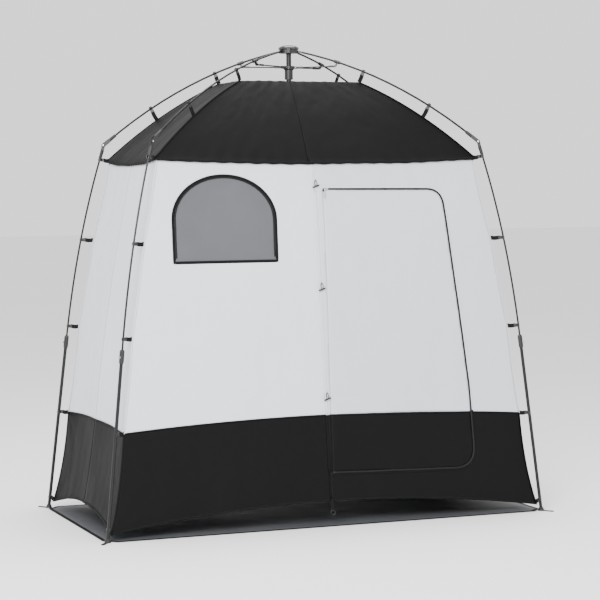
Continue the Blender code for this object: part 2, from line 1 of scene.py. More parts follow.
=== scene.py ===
"""Privacy shower tent: cloth, zips, straps, finishes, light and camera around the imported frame."""
import math

import bmesh
import bpy
import numpy as np
from mathutils import Matrix, Vector, noise


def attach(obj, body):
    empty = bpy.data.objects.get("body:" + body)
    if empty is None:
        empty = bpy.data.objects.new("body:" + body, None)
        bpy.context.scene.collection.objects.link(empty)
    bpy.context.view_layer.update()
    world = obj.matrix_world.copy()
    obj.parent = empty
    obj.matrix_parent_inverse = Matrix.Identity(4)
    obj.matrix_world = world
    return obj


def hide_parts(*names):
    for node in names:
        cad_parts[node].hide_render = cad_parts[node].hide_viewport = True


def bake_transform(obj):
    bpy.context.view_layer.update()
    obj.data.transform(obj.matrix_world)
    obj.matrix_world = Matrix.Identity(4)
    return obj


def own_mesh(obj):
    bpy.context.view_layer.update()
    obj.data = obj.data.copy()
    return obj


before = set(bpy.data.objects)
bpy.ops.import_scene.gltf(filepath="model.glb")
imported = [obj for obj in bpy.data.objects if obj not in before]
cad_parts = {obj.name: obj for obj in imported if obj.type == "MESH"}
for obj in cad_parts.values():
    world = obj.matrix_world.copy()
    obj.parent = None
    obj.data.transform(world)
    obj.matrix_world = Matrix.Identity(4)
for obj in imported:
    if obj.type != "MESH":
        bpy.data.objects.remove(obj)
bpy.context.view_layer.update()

bl_info = {
    "name": "Privacy Shower Tent",
    "version": (1, 0, 0),
    "blender": (4, 5, 0),
    "location": "View3D > Sidebar > Tent",
    "description": "Dresses a folding-frame shower tent in cloth, zips, webbing and studio light",
    "category": "Object",
}

# The frame, in metres. R is a distance from the middle line along a corner diagonal.
CORNER_ANGLE = math.radians(26.2)
COS, SIN = math.cos(CORNER_ANGLE), math.sin(CORNER_ANGLE)
QUARTERS = {"front_left": (-1, -1), "front_right": (1, -1), "rear_left": (-1, 1), "rear_right": (1, 1)}
ELBOW_PIVOT = (0.930, 1.820)
RUNNER_PIVOT = (0.034, 2.193)
BRACKET_PIVOT = (0.230, 2.197)
POLE_START = (0.9395, 1.783)
COLLAR_TOP = (1.130, 0.865)
FOOT = (1.2335, 0.004)
POLE_CONTROL = (1.0703, 1.3614)
POLE_SPLIT = 0.38
POLE_RADIUS = 0.0046
POLE_TAIL = 0.12

# The cloth. Each pair is a height and the R of the cloth's corner there.
CORNER_LINE = (
    (0.030, 1.212),
    (0.485, 1.128),
    (0.920, 1.066),
    (1.360, 0.989),
    (1.540, 0.944),
    (1.660, 0.916),
    (1.748, 0.902),
)
CORNER_FIT = np.polyfit([z for z, _ in CORNER_LINE], [r for _, r in CORNER_LINE], 4)
STRAP_HEIGHTS = (0.030, 0.487, 0.920, 1.350, 1.748)
SCALLOP = 0.006
ROOF_LINE = ((0.905, 1.748), (0.661, 1.940), (0.348, 2.115))
ROOF_FIT = np.polyfit([r for r, _ in ROOF_LINE], [z for _, z in ROOF_LINE], 2)
ROOF_HOLE = 0.045
EAVE, EAVE_SAG = 1.747, 0.020
EAVE_FLAP = 0.016
BAND, BAND_RISE = 0.485, 0.038
HEM = 0.030
HEM_RISE = {"front": 0.085, "rear": 0.085, "left": 0.070, "right": 0.070}
DOOR_LEFT = 0.012
DOOR_CORNERS = (
    (DOOR_LEFT, 0.250, 0.0),
    (0.765, 0.232, 0.115),
    (0.742, 0.640, 0.0),
    (0.632, 1.590, 0.080),
    (DOOR_LEFT, 1.594, 0.0),
)
WINDOW_MIDDLE, WINDOW_HALF = -0.488, 0.254
WINDOW_SILL, WINDOW_SHOULDER, WINDOW_TOP = 1.258, 1.455, 1.660
GROUND_SHEET = (1.120, 0.560, 0.055)


# ---------------------------------------------------------------- materials


def linear(hex_colour):
    channels = [int(hex_colour[k : k + 2], 16) / 255 for k in (1, 3, 5)]
    return [c / 12.92 if c <= 0.04045 else ((c + 0.055) / 1.055) ** 2.4 for c in channels] + [1.0]


def add_node(tree, kind, inputs=None, **settings):
    """Adds a node, with its settings, and with its inputs set or linked."""
    node = tree.nodes.new(kind)
    for name, value in settings.items():
        setattr(node, name, value)
    for name, value in (inputs or {}).items():
        if isinstance(value, bpy.types.NodeSocket):
            tree.links.new(value, node.inputs[name])
        else:
            node.inputs[name].default_value = value
    return node


def finish(
    name, light, dark, blotch_mm, roughness, pattern, pitch_mm, depth_mm,
    rough_spread=0.08, crease_mm=0.0, **shader,
):
    """A finish with two tones in soft blotches and a raised pattern. Sizes are in millimetres on the real thing.
    pattern is weave, ribs or grain; crease_mm adds the soft crumple of folded cloth."""
    made = bpy.data.materials.get(name)
    if made:
        return made
    made = bpy.data.materials.new(name)
    made.use_nodes = True
    tree = made.node_tree
    body = tree.nodes["Principled BSDF"]
    place = add_node(tree, "ShaderNodeTexCoord").outputs["Object"]
    blotch = add_node(
        tree,
        "ShaderNodeTexNoise",
        {"Vector": place, "Scale": 1000 / blotch_mm, "Detail": 4.0, "Roughness": 0.55},
    )
    tone = add_node(
        tree, "ShaderNodeMix", {0: blotch.outputs["Fac"], 6: linear(dark), 7: linear(light)}, data_type="RGBA"
    )
    tree.links.new(tone.outputs[2], body.inputs["Base Color"])
    spread = add_node(
        tree,
        "ShaderNodeMapRange",
        {"Value": blotch.outputs["Fac"], "To Min": roughness - rough_spread, "To Max": roughness + rough_spread},
    )
    tree.links.new(spread.outputs["Result"], body.inputs["Roughness"])
    if pattern == "grain":
        height = add_node(
            tree, "ShaderNodeTexNoise", {"Vector": place, "Scale": 1000 / pitch_mm, "Detail": 2.0}
        ).outputs["Fac"]
    else:
        axes = add_node(tree, "ShaderNodeSeparateXYZ", {"Vector": place}).outputs
        along = add_node(tree, "ShaderNodeMath", {0: axes["X"], 1: axes["Y"]}, operation="ADD").outputs[0]
        flat = add_node(tree, "ShaderNodeCombineXYZ", {"X": along, "Y": axes["Z"]}).outputs[0]
        waves = [
            add_node(
                tree,
                "ShaderNodeTexWave",
                {"Vector": flat, "Scale": 1000 / pitch_mm / 20 * math.pi},
                bands_direction=way,
            ).outputs["Fac"]
            for way in (("X", "Y") if pattern == "weave" else ("Y", "Y"))
        ]
        height = add_node(tree, "ShaderNodeMath", {0: waves[0], 1: waves[1]}, operation="MULTIPLY").outputs[0]
    bump = add_node(tree, "ShaderNodeBump", {"Height": height, "Strength": 1.0, "Distance": depth_mm / 1000})
    if crease_mm:
        folds = add_node(
            tree,
            "ShaderNodeTexNoise",
            {"Vector": place, "Scale": 14.0, "Detail": 3.0, "Roughness": 0.45, "Distortion": 0.6},
            noise_type="RIDGED_MULTIFRACTAL",
        )
        bump = add_node(
            tree,
            "ShaderNodeBump",
            {
                "Height": folds.outputs["Fac"],
                "Strength": 0.6,
                "Distance": crease_mm / 1000,
                "Normal": bump.outputs[0],
            },
        )
    tree.links.new(bump.outputs["Normal"], body.inputs["Normal"])
    for socket, value in shader.items():
        body.inputs[socket.replace("_", " ")].default_value = value
    return made


def wall_taffeta():
    # Woven polyester with a coated back: matt, cool and even, with a faint crumple. Threads are
    # 0.3 mm apart, and are drawn 3 mm apart so that they show.
    return finish(
        "Coated polyester taffeta, pale", "#D6D9DF", "#CBCFD6", 700, 0.62, "weave", 3.0, 0.10, crease_mm=2.6
    )


def wall_taffeta_painted_shade():
    # The same cloth, a little greyer: painted shade for the front's right half and the door, which turn a little
    # away from the light.
    return finish(
        "Coated polyester taffeta, painted shade", "#C6CAD1", "#BCC0C8", 700, 0.62, "weave", 3.0, 0.10, crease_mm=2.6
    )


def skirt_taffeta():
    # Dyed black in the yarn, with a soft shine where it bends to the light.
    return finish(
        "Coated polyester taffeta, black", "#080809", "#040405", 500, 0.60,
        "weave", 3.0, 0.12, crease_mm=2.2,
        Specular_IOR_Level=0.12,
    )


def netting():
    # Knitted polyester netting with 1.2 mm holes: an even grey, with a little of the inside showing.
    return finish(
        "Knitted polyester netting, grey", "#606266", "#4C4E52", 260, 0.8, "weave", 4.0, 0.3, Alpha=0.80,
    )


def webbing():
    # Woven polypropylene tape with 1.5 mm ribs across it: matt black with a dry sparkle on the ribs.
    return finish(
        "Woven polypropylene webbing, black", "#0B0B0C", "#060607", 60, 0.72,
        "ribs", 1.5, 0.35, Specular_IOR_Level=0.15,
    )


def seam_tape():
    # Woven polyester tape sewn over the joins: the wall's own grey, with fine ribs across it.
    return finish("Woven polyester tape, pale", "#D2D5DB", "#C2C6CD", 80, 0.7, "ribs", 1.5, 0.25)


def zip_coil():
    # Moulded nylon coil with a tooth every 1.8 mm: dark, with small hard glints.
    return finish(
        "Moulded nylon zip coil", "#101113", "#070708", 40, 0.48, "ribs", 3.6, 0.6, Specular_IOR_Level=0.25,
    )


def nylon():
    # Injection moulded, glass-filled nylon: deep black with a fine spark-eroded grain.
    return finish("Moulded nylon, black", "#151517", "#0D0D0E", 45, 0.40, "grain", 0.9, 0.06)


def nylon_gloss():
    # Moulded and polished: the one deep, glossy black, on top of the hub.
    return finish(
        "Moulded ABS, polished black", "#1B1B1D", "#101011", 60, 0.20,
        "grain", 6.0, 0.03, 0.04, Coat_Weight=0.4,
    )


def grey_nylon():
    # Moulded nylon left grey: satin, and pale beside the black.
    return finish("Moulded nylon, grey", "#8D9094", "#7B7E82", 30, 0.42, "grain", 0.9, 0.05)


def fibreglass():
    # Pultruded glass and resin rod under a black skin: long, clean highlights.
    return finish(
        "Pultruded fibreglass, black", "#070708", "#040405", 90, 0.30,
        "grain", 2.0, 0.03, 0.05, Specular_IOR_Level=0.35,
    )


def coated_steel():
    # Steel tube in black powder coat: a slight orange peel breaks up the highlight.
    return finish(
        "Powder coated steel, black", "#0A0A0B", "#060607", 70, 0.38,
        "grain", 1.6, 0.06, 0.06, Specular_IOR_Level=0.35,
    )


def zinc_steel():
    # Zinc plated rivets and pins: bright, faintly blue metal.
    return finish("Zinc plated steel", "#C9CDD2", "#AEB2B8", 12, 0.28, "grain", 0.6, 0.02, Metallic=1.0)


def ground_cloth():
    # Woven polyethylene tape under a film: a 3 mm basket weave and a slightly waxy face. Its dark charcoal is
    # the sheet's own grey with painted shade mixed in, the shadow under the tent.
    return finish(
        "Woven polyethylene, charcoal", "#54565A", "#3E4043", 300, 0.58, "weave", 6.0, 0.35, crease_mm=3.0
    )


# ---------------------------------------------------------------- shapes of the cloth


def corner_radius(z):
    return float(np.polyval(CORNER_FIT, z))


def scallop(z):
    """How far the cloth's corner curves inwards between two straps."""
    for low, high in zip(STRAP_HEIGHTS, STRAP_HEIGHTS[1:]):
        if low <= z <= high:
            share = (z - low) / (high - low)
            return SCALLOP * 4 * share * (1 - share)
    return 0.0


def ruck(a, b, c, fine, seed):
    """Smooth noise between about -1 and 1."""
    return noise.noise(Vector((a * fine + seed, b * fine, c)))


def wrinkle(facing, s, z):
    """How far the wall stands proud of its plane: a dish in each half, folds that fan from the straps,
    pleats under the eave and a wavy hem. s runs from corner to corner, -1 to 1."""
    width = corner_radius(z) * (COS if facing in ("front", "rear") else SIN)
    x = s * width
    seed = {"front": 3.0, "rear": 11.0, "left": 17.0, "right": 23.0}[facing]
    edge = 1 - abs(s) ** 10
    dish = -0.010 * math.sin(math.pi * min(1, abs(s))) * math.sin(math.pi * min(1, max(0, z / 1.75)))
    soft = 0.0045 * ruck(x, z, 0.3, 2.3, seed) + 0.0016 * ruck(x * 1.6, z * 0.7, 1.7, 9.0, seed)
    fans = 0.0
    for height in STRAP_HEIGHTS:
        for side in (-1, 1):
            dx, dz = width - side * x, z - height
            reach = math.hypot(dx, dz)
            if reach < 0.45:
                turn = math.atan2(dz, dx)
                fade = min(1, reach / 0.05) * math.exp(-reach / 0.13)
                fans += 0.0030 * math.sin(9 * turn + seed + height) * fade
    drop = max(0.0, eave_z(s) - z)
    calm = 1 - math.exp(-drop / 0.03)
    pleats = 0.0016 * math.sin(x * 46 + 3 * ruck(x, z, 2.0, 3.0, seed)) * math.exp(-drop / 0.10)
    low = max(0.0, z - HEM)
    hem = 0.0075 * ruck(x, 0.2, 4.0, 5.0, seed) * math.exp(-low / 0.16)
    middle = 0.0
    if facing == "front":
        gap = abs(x - seam_x(z))
        middle = -0.004 * math.exp(-gap / 0.018) + 0.0016 * math.sin(z * 60) * math.exp(-gap / 0.05)
    return edge * ((dish + soft + fans + pleats + hem + middle) * calm - 0.003 * (1 - calm))


def seam_x(z):
    """Where the front's middle seam runs: it leans a little to the left as it rises."""
    return -0.002 - 0.027 * (z - 0.17) / 1.4


def wall_point(facing, s, z, lift=0.0):
    long_side = facing in ("front", "rear")
    across, out = (COS, SIN) if long_side else (SIN, COS)
    sign = -1 if facing in ("front", "left") else 1
    dip = scallop(z)
    radius = corner_radius(z)
    along = s * (radius - dip) * across
    away = sign * ((radius - dip * abs(s) ** 6) * out + wrinkle(facing, s, z) + lift)
    return (along, away, z) if long_side else (away, along, z)


def front_point(x, z, lift=0.0):
    return wall_point("front", x / ((corner_radius(z) - scallop(z)) * COS), z, lift)


def eave_z(s):
    return EAVE - EAVE_SAG * (1 - s * s)


def band_z(facing, s):
    return BAND + (BAND_RISE if facing == "front" else BAND_RISE * 0.4) * (1 - s * s)


def hem_z(facing, s):
    wave = 0.004 * ruck(s * 1.1, 0.0, 6.0, 4.0, 31.0) * (1 - s * s)
    return HEM + HEM_RISE[facing] * (1 - s * s) + wave


def roof_point(facing, s, t, lift=0.0):
    """A point on a roof slope: t is 0 at the eave and 1 at the flat top, and below 0 on the eave's flap."""
    long_side = facing in ("front", "rear")
    across, out = (COS, SIN) if long_side else (SIN, COS)
    sign = -1 if facing in ("front", "left") else 1
    up = max(t, 0.0)
    radius = ROOF_LINE[0][0] + (ROOF_LINE[-1][0] - ROOF_LINE[0][0]) * up
    z = float(np.polyval(ROOF_FIT, radius)) + 0.002
    bulge = (1 - s * s) * (-EAVE_SAG * (1 - up) ** 2 - 0.010 * math.sin(math.pi * up))
    seed = {"front": 41.0, "rear": 47.0, "left": 53.0, "right": 59.0}[facing]
    edge = 1 - abs(s) ** 10
    puckers = math.sin(s * 60 + seed) * math.exp(-up / 0.08) + math.sin(s * 34) * math.exp((up - 1) / 0.12)
    puckers *= 0.0015
    soft = edge * (0.0040 * ruck(s, up, 0.0, 2.6, seed) + 0.0014 * ruck(s * 2, up, 1.0, 7.0, seed) + puckers)
    z += bulge + soft * 0.8 + lift * 0.75
    along = s * radius * across
    away = sign * (radius * out + soft * 0.4 + lift * 0.6)
    if t < 0:
        z += t * EAVE_FLAP
        away += sign * 0.0065
    return (along, away, z) if long_side else (away, along, z)


def smooth_outline(corners, pitch=0.012):
    """A closed outline with rounded corners and a point about every pitch."""
    points = []
    count = len(corners)
    for k in range(count):
        before, here, after = (Vector(corners[(k + d) % count][:2]) for d in (-1, 0, 1))
        cut = corners[k][2]
        start = here + (before - here).normalized() * cut
        end = here + (after - here).normalized() * cut
        turn = 12 if cut else 1
        shares = np.arange(turn + 1) / turn
        points += [start * (1 - q) ** 2 + here * 2 * q * (1 - q) + end * q * q for q in shares]
    dense = []
    for first, second in zip(points, points[1:] + points[:1]):
        steps = max(1, int((second - first).length / pitch))
        dense += [first.lerp(second, q / steps) for q in range(steps)]
    return [tuple(p) for p in dense]


def window_outline():
    arch = [(WINDOW_MIDDLE - WINDOW_HALF, WINDOW_SILL)]
    for k in range(49):
        angle = math.pi * (48 - k) / 48
        x = WINDOW_MIDDLE + WINDOW_HALF * math.cos(angle)
        arch.append((x, WINDOW_SHOULDER + (WINDOW_TOP - WINDOW_SHOULDER) * math.sin(angle)))
    arch.append((WINDOW_MIDDLE + WINDOW_HALF, WINDOW_SILL))
    dense = []
    for first, second in zip(arch, arch[1:] + arch[:1]):
        steps = max(1, int(math.dist(first, second) / 0.012))
        dense += [tuple(Vector(first).lerp(Vector(second), q / steps)) for q in range(steps)]
    return dense


def inside(points, outline):
    """For each (x, z) point, whether it is inside the closed outline."""
    x, z = points[:, 0], points[:, 1]
    found = np.zeros(len(points), bool)
    for (x0, z0), (x1, z1) in zip(outline, outline[1:] + outline[:1]):
        if z0 != z1:
            crosses = ((z0 > z) != (z1 > z)) & (x < (x1 - x0) * (z - z0) / (z1 - z0) + x0)
            found ^= crosses
    return found


# ---------------------------------------------------------------- mesh helpers


def new_piece(name, vertices, faces, finish_used, smooth=True):
    mesh = bpy.data.meshes.new(name)
    mesh.from_pydata([tuple(v) for v in vertices], [], faces)
    mesh.materials.append(finish_used)
    if smooth:
        mesh.shade_smooth()
    mesh.update()
    made = bpy.data.objects.new(name, mesh)
    bpy.context.scene.collection.objects.link(made)
    return made


def thicken(piece, thickness, offset=-1.0):
    solid = piece.modifiers.new("Cloth thickness", "SOLIDIFY")
    solid.thickness = thickness
    solid.offset = offset
    return piece


def outward(piece, middle=(0.0, 0.0, 1.0)):
    """Turns the faces of an open sheet so that they face away from the tent's middle."""
    bm = bmesh.new()
    bm.from_mesh(piece.data)
    score = sum((f.calc_center_median() - Vector(middle)).dot(f.normal) * f.calc_area() for f in bm.faces)
    if score < 0:
        bmesh.ops.reverse_faces(bm, faces=bm.faces)
    bm.to_mesh(piece.data)
    bm.free()
    return piece


def grid_piece(name, rows, point, finish_used, holes=(), shape=None):
    """A cloth sheet from rows of (x, z) places. Places inside a hole are left out, or with a shape those
    outside it, and the cut edge is drawn onto the outline. point gives a place's position."""
    count, width = len(rows), len(rows[0])
    flat = np.array([p for row in rows for p in row], float)
    faces = []
    for r in range(count - 1):
        for c in range(width - 1):
            k = r * width + c
            faces.append((k, k + 1, k + width + 1, k + width))
    faces = np.array(faces)
    if holes or shape:
        centres = flat[faces].mean(axis=1)
        keep = np.ones(len(faces), bool)
        for hole in holes:
            keep &= ~inside(centres, hole)
        if shape:
            keep &= inside(centres, shape)
        cut = set(faces[~keep].ravel()) & set(faces[keep].ravel())
        outlines = np.array([p for line in ([shape] if shape else holes) for p in line])
        for k in cut:
            near = outlines[np.argmin(((outlines - flat[k]) ** 2).sum(axis=1))]
            if math.dist(near, flat[k]) < 0.03:
                flat[k] = near
        faces = faces[keep]
    used = sorted(set(faces.ravel()))
    index = {k: n for n, k in enumerate(used)}
    quads = []
    for face in faces:
        corners = [index[k] for k in face]
        quads.append(corners)
    piece = new_piece(name, [point(*flat[k]) for k in used], quads, finish_used)
    bm = bmesh.new()
    bm.from_mesh(piece.data)
    bmesh.ops.remove_doubles(bm, verts=bm.verts, dist=0.0004)
    bmesh.ops.dissolve_degenerate(bm, edges=bm.edges, dist=0.0002)
    bm.to_mesh(piece.data)
    bm.free()
    return outward(piece)


def band(name, points, normals, width, thickness, finish_used, closed=False):
    """A crowned strip of tape or binding along a path, lying on the side that the normals point to."""
    points = [Vector(p) for p in points]
    normals = [Vector(n).normalized() for n in normals]
    count = len(points)
    vertices, faces = [], []
    profile = ((-0.5, 0.0), (-0.5, 0.7), (-0.2, 1.0), (0.2, 1.0), (0.5, 0.7), (0.5, 0.0))
    for k in range(count):
        if closed:
            along = points[(k + 1) % count] - points[k - 1]
        else:
            along = points[min(k + 1, count - 1)] - points[max(k - 1, 0)]
        side = along.cross(normals[k]).normalized()
        vertices += [points[k] + side * (a * width) + normals[k] * (b * thickness) for a, b in profile]
    size = len(profile)
    for k in range(count if closed else count - 1):
        after = (k + 1) % count
        for c in range(size):
            d = (c + 1) % size
            faces.append((k * size + c, k * size + d, after * size + d, after * size + c))
    if not closed:
        faces.append(tuple(range(size)))
        faces.append(tuple(range((count - 1) * size, count * size))[::-1])
    piece = new_piece(name, vertices, faces, finish_used)
    bm = bmesh.new()
    bm.from_mesh(piece.data)
    bmesh.ops.recalc_face_normals(bm, faces=bm.faces)
    bm.to_mesh(piece.data)
    bm.free()
    return piece


def tube(bm, points, radius, sides=12):
    """A closed round rod through the points."""
    points = [Vector(p) for p in points]
    rings = []
    for k, point in enumerate(points):
        along = (points[min(k + 1, len(points) - 1)] - points[max(k - 1, 0)]).normalized()
        across = along.cross(Vector((0.3, 0.9, 0.1))).normalized()
        up = along.cross(across)
        size = radius[k] if isinstance(radius, (list, tuple)) else radius
        turns = [2 * math.pi * n / sides for n in range(sides)]
        rings.append([bm.verts.new(point + (across * math.cos(a) + up * math.sin(a)) * size) for a in turns])
    for lower, upper in zip(rings, rings[1:]):
        for n in range(sides):
            bm.faces.new((lower[n], lower[(n + 1) % sides], upper[(n + 1) % sides], upper[n]))
    bm.faces.new(rings[0][::-1])
    bm.faces.new(rings[-1])


def from_bmesh(name, bm, finish_used):
    bmesh.ops.recalc_face_normals(bm, faces=bm.faces)
    mesh = bpy.data.meshes.new(name)
    bm.to_mesh(mesh)
    bm.free()
    mesh.materials.append(finish_used)
    mesh.shade_smooth()
    mesh.set_sharp_from_angle(angle=math.radians(42))
    made = bpy.data.objects.new(name, mesh)
    bpy.context.scene.collection.objects.link(made)
    return made


def at(quarter, radius, z, side=0.0):
    """A point on a quarter's corner diagonal, with an optional step sideways."""
    sx, sy = QUARTERS[quarter]
    dx, dy = sx * COS, sy * SIN
    return Vector((dx * radius - dy * side, dy * radius + dx * side, z))


def fold_with_leg(piece, quarter):
    """The wall rides with its corner's leg."""
    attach(piece, f"upper_leg_{quarter}")
    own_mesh(piece)


def fold_with_rib(piece, quarter):
    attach(piece, f"rib_{quarter}")
    low, high = at(quarter, *ROOF_LINE[0]), at(quarter, *ROOF_LINE[-1])
    tuple(low)
    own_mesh(piece)


def halves(facing):
    """(quarter, sign) of the two halves of a wall; sign is the end of the wall's share that the corner is at."""
    return {
        "front": (("front_left", -1), ("front_right", 1)),
        "rear": (("rear_left", -1), ("rear_right", 1)),
        "left": (("front_left", -1), ("rear_left", 1)),
        "right": (("front_right", -1), ("rear_right", 1)),
    }[facing]


def middle_share(facing, z):
    return seam_x(z) / (corner_radius(z) * COS) if facing == "front" else 0.0


def half_rows(facing, sign, low, high, pitch):
    """Rows of (share, height) places for one half of a wall between two heights that vary across it."""
    wide = 1.0 if facing in ("front", "rear") else 0.5
    columns = max(8, int(wide / pitch))
    rows_needed = max(6, int((high(0) - low(0)) / pitch))
    rows = []
    for r in range(rows_needed + 1):
        row = []
        for c in range(columns + 1):
            share = c / columns
            s = sign * share
            z = low(s) + (high(s) - low(s)) * r / rows_needed
            middle = middle_share(facing, z)
            s = middle + (sign - middle) * share
            row.append((s, low(s) + (high(s) - low(s)) * r / rows_needed))
        rows.append(row)
    return rows


def pitch_of(facing):
    return 0.011 if facing == "front" else 0.016


def to_places(rows):
    """The same rows as (x, z), for cutting the front's holes."""
    return [[(s * (corner_radius(z) - scallop(z)) * COS, z) for s, z in row] for row in rows]


def outline_area(outline, low=-10.0, high=10.0):
    """Area inside a closed outline, between two heights."""
    points = [(x, min(high, max(low, z))) for x, z in outline]
    return abs(sum(a[0] * b[1] - b[0] * a[1] for a, b in zip(points, points[1:] + points[:1]))) / 2


def wall_cut(facing, sign, low, high, holes=()):
    """The flat cut of half a wall, from the corner line and the middle: width, length and area."""
    across, out = (COS, SIN) if facing in ("front", "rear") else (SIN, COS)
    shares = np.linspace(0, sign, 9)
    bottom, top = np.mean([low(s) for s in shares]), np.mean([high(s) for s in shares])
    heights = np.linspace(bottom, top, 13)
    radii = [corner_radius(z) for z in heights]
    widths = [abs(sign - middle_share(facing, z)) * r * across for z, r in zip(heights, radii)]
    runs = [math.hypot(b - a, (s - r) * out) for a, b, r, s in zip(heights, heights[1:], radii, radii[1:])]
    area = sum(run * (a + b) / 2 for run, a, b in zip(runs, widths, widths[1:]))
    area -= sum(outline_area(hole, bottom, top) for hole in holes)
    return max(widths), sum(runs), area


def seam_path(low, high, lift=0.0012):
    heights = np.linspace(low, high, max(3, int((high - low) / 0.02)))
    return [front_point(seam_x(z), z, lift) for z in heights]


OUT = {"front": (0, -1, 0.08), "rear": (0, 1, 0.08), "left": (-1, 0, 0.15), "right": (1, 0, 0.15)}


# ---------------------------------------------------------------- settings


class TentCloth(bpy.types.PropertyGroup):
    """Sizes and colours of the cloth."""

    thickness: bpy.props.FloatProperty(
        name="Cloth thickness", description="Thickness of the coated cloth", default=0.0008, unit="LENGTH"
    )
    tape_width: bpy.props.FloatProperty(
        name="Tape width", description="Width of the door's sewn tape", default=0.024, unit="LENGTH"
    )
    coil_width: bpy.props.FloatProperty(
        name="Zip width", description="Width of the closed zip coil", default=0.0085, unit="LENGTH"
    )
    binding_width: bpy.props.FloatProperty(
        name="Binding width", description="Width of the binding on edges", default=0.012, unit="LENGTH"
    )


class TentStraps(bpy.types.PropertyGroup):
    """Sizes of the straps and clips that hold the cloth to the frame."""

    width: bpy.props.FloatProperty(
        name="Strap width", description="Width of the webbing straps", default=0.020, unit="LENGTH"
    )
    clip_height: bpy.props.FloatProperty(
        name="Clip height", description="Height of the clips on the poles", default=0.016, unit="LENGTH"
    )
    clip_wall: bpy.props.FloatProperty(
        name="Clip wall", description="Wall thickness of the clips", default=0.0024, unit="LENGTH"
    )


class TentStudio(bpy.types.PropertyGroup):
    """Light and floor."""

    key_power: bpy.props.FloatProperty(
        name="Key light", description="Power of the large light at the left", default=1050.0, unit="POWER"
    )
    fill_power: bpy.props.FloatProperty(
        name="Fill light", description="Power of the light at the right", default=60.0, unit="POWER"
    )
    top_power: bpy.props.FloatProperty(
        name="Top light", description="Power of the light overhead", default=260.0, unit="POWER"
    )
    sky: bpy.props.FloatProperty(name="Surround", description="Strength of the white surround", default=1.45)


# ---------------------------------------------------------------- pieces


class TENT_OT_frame_finish(bpy.types.Operator):
    """Gives the frame's moulded, rod and tube parts their finishes"""

    bl_idname = "tent.frame_finish"
    bl_label = "Frame finishes"

    def execute(self, context):
        by_start = (
            ("hub_cap", nylon_gloss()),
            ("rib_bracket", nylon()),
            ("rib_", fibreglass()),
            ("strut_", coated_steel()),
            ("lower_leg", coated_steel()),
            ("mast_cap", nylon()),
            ("mast", coated_steel()),
            ("lock_button", grey_nylon()),
            ("roof_patch", grey_nylon()),
            ("", nylon()),
        )
        for name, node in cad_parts.items():
            chosen = next(found for start, found in by_start if name.startswith(start))
            if not node.material_slots:
                node.data.materials.append(chosen)
            for held in node.material_slots:
                held.material = chosen
        return {"FINISHED"}


class TENT_OT_upper_poles(bpy.types.Operator):
    """Builds the bowed rods above the legs, in two lengths"""

    bl_idname = "tent.upper_poles"
    bl_label = "Bowed upper poles"

    def execute(self, context):
        start, control, end = Vector(POLE_START), Vector(POLE_CONTROL), Vector(COLLAR_TOP)
        down = (Vector(FOOT) - end).normalized()

        def bow(q):
            return start * (1 - q) ** 2 + control * 2 * q * (1 - q) + end * q * q

        lengths = {
            "high": [bow(q) for q in np.linspace(0, POLE_SPLIT, 14)],
            "low": [bow(q) for q in np.linspace(POLE_SPLIT, 1, 20)] + [end + down * POLE_TAIL],
        }
        for quarter in QUARTERS:
            for part, line in lengths.items():
                bm = bmesh.new()
                tube(bm, [at(quarter, p.x, p.y) for p in line], POLE_RADIUS, 16)
                rod = from_bmesh(f"bowed_rod_{part}_{quarter}", bm, fibreglass())
                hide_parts(f"upper_pole_{quarter}")
                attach(rod, f"upper_leg_{quarter}")
                if part == "low":
                    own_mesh(rod)
        return {"FINISHED"}


class TENT_OT_pins(bpy.types.Operator):
    """Adds the rivets at the elbows and the pins at both ends of the struts"""

    bl_idname = "tent.pins"
    bl_label = "Rivets and pins"

    def execute(self, context):
        pins = (
            ("elbow_rivet", ELBOW_PIVOT, (-0.0112, 0.0112), 0.0040, "rib_{}"),
            ("runner_pin", RUNNER_PIVOT, (-0.0050, 0.0192), 0.0021, "runner"),
            ("strut_pin", BRACKET_PIVOT, (-0.0050, 0.0192), 0.0021, "rib_{}"),
        )
        for quarter in QUARTERS:
            for name, place, (near, far), radius, body in pins:
                bm = bmesh.new()
                steps = (near, near + 0.0006, near + 0.0018, far - 0.0018, far - 0.0006, far)
                sizes = [radius * k for k in (0.55, 1.0, 1.0, 1.0, 1.0, 0.55)]
                tube(bm, [at(quarter, *place, side=d) for d in steps], sizes, 16)
                pin = from_bmesh(f"{name}_{quarter}", bm, zinc_steel())
                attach(pin, body.format(quarter))
        return {"FINISHED"}


class TENT_OT_walls(bpy.types.Operator):
    """Builds the pale walls and the black skirts, each in two halves that ride on their corner's leg"""

    bl_idname = "tent.walls"
    bl_label = "Walls and skirts"

    def execute(self, context):
        cloth = context.scene.tent_cloth
        door, window = smooth_outline(DOOR_CORNERS), window_outline()
        for facing in ("front", "rear", "left", "right"):
            for quarter, sign in halves(facing):
                pitch = pitch_of(facing)
                high = lambda s: eave_z(s) - 0.001
                seam = lambda s: band_z(facing, s)
                hem = lambda s: hem_z(facing, s)
                # The front's right half takes the greyer copy of the cloth: painted shade.
                shade = wall_taffeta_painted_shade() if facing == "front" and sign > 0 else wall_taffeta()
                for kind, low, top, used in (("wall", seam, high, shade), ("skirt", hem, seam, skirt_taffeta())):
                    rows = half_rows(facing, sign, low, top, pitch)
                    name = f"{facing}_{kind}_by_{quarter}"
                    if facing == "front":
                        holes = [door] if sign > 0 else ([window] if kind == "wall" else [])
                        piece = grid_piece(name, to_places(rows), front_point, used, holes)
                    else:
                        piece = grid_piece(name, rows, lambda s, z: wall_point(facing, s, z), used)
                    thicken(piece, cloth.thickness)
                    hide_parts(f"{facing}_{kind}")
                    cuts = holes if facing == "front" else []
                    wall_cut(facing, sign, low, top, cuts)
                    fold_with_leg(piece, quarter)
        return {"FINISHED"}


